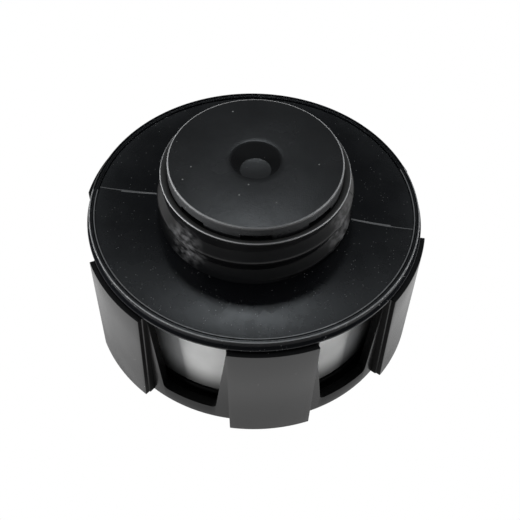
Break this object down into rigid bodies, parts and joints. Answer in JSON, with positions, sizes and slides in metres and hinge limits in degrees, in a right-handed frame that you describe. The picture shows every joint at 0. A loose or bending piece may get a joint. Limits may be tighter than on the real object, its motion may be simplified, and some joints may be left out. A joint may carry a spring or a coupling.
{
  "type": "hydraulic filler breather",
  "caption": "Black plastic screw-in filler breather for a hydraulic tank, with a white filter behind side windows and a slotted neck.",
  "frame": {"origin": "centre of the flat crown face the breather stands on", "axes": "+Z along the threaded neck, away from the crown; -Y through the middle of a grip pad"},
  "size_m": [0.1044, 0.1086, 0.0678],
  "materials": {
    "black_nylon": "satin moulded, lightly scuffed",
    "grey_nylon": "fine-textured moulded",
    "element_plastic": "moulded",
    "filter_fleece": "smooth white fleece",
    "filter_paper": "pleated, resin-treated",
    "zinc_steel": "bright zinc plated",
    "spring_steel": "drawn",
    "acetal": "natural white",
    "nitrile": "black"
  },
  "bodies": {
    "housing": {"cover": "black_nylon", "flange_neck": "black_nylon", "vent_cap": "grey_nylon", "filter_cup": "element_plastic", "filter_wrap": "filter_fleece", "filter_pleats": "filter_paper", "filter_core": "zinc_steel", "filter_end_ring": "element_plastic", "upper_gasket": "nitrile", "lower_gasket": "nitrile", "valve_seat": "acetal", "seat_o_ring": "nitrile", "retaining_ring": "acetal", "spring_cage": "zinc_steel", "pressure_spring": "spring_steel"},
    "pressure_valve": {"pressure_plate": "acetal", "pressure_seal": "nitrile", "vacuum_spring": "spring_steel"},
    "vacuum_valve": {"vacuum_disc": "acetal", "vacuum_seal": "nitrile", "stem_clip": "spring_steel"}
  },
  "joints": [
    {"name": "pressure_lift", "type": "slide", "parent": "housing", "child": "pressure_valve", "axis": [0, 0, -1], "range_m": [0, 0.003], "stiffness_N_per_m": 600, "springref_m": -0.005, "deforming": ["pressure_spring"]},
    {"name": "vacuum_lift", "type": "slide", "parent": "pressure_valve", "child": "vacuum_valve", "axis": [0, 0, 1], "range_m": [0, 0.002], "stiffness_N_per_m": 150, "springref_m": -0.003, "deforming": ["vacuum_spring"]}
  ]
}
